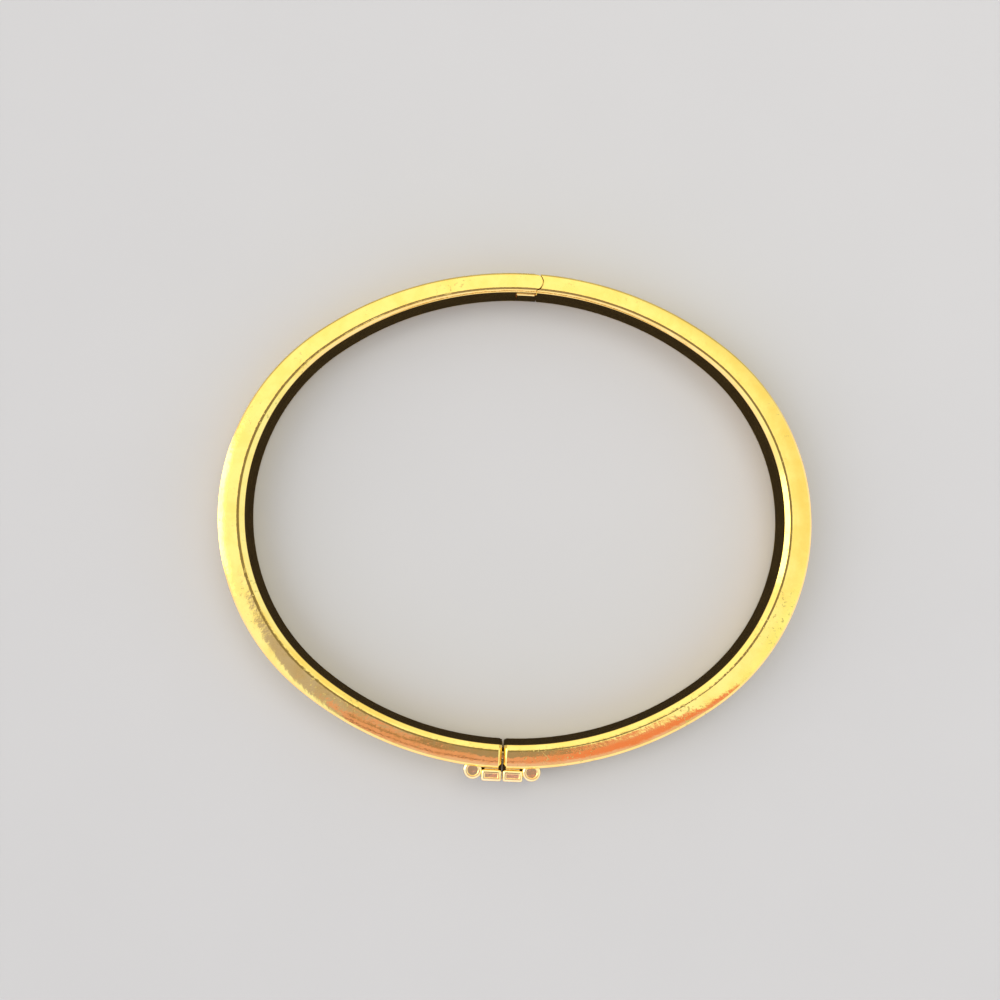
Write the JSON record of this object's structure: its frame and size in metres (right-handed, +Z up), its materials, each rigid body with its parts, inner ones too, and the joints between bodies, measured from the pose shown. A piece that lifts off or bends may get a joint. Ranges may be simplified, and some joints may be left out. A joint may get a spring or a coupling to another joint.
{
  "type": "oval hinged bangle",
  "caption": "Slim oval hinged bangle of polished gold-coloured metal, with bevelled edges, a hidden tongue clasp and small upright bars beside the opening.",
  "frame": {"origin": "centre of the footprint, on the surface that the bangle lies on", "axes": "+X along the long way across, from the left half to the right half; +Y from the opening to the hinge; +Z up, along the wrist's axis"},
  "size_m": [0.0632, 0.0542, 0.0047],
  "materials": {
    "gold": "mirror-polished yellow gold plating",
    "fittings": "satin yellow gold plating"
  },
  "bodies": {
    "left": {"left_half": "gold", "hinge_pin": "fittings"},
    "right": {"right_half": "gold", "clasp_tongue": "fittings"}
  },
  "joints": [
    {"name": "hinge", "type": "hinge", "parent": "left", "child": "right", "pos_m": [0.00107, 0.02611, 0], "axis": [0, 0, 1], "range_deg": [0, 38]}
  ]
}
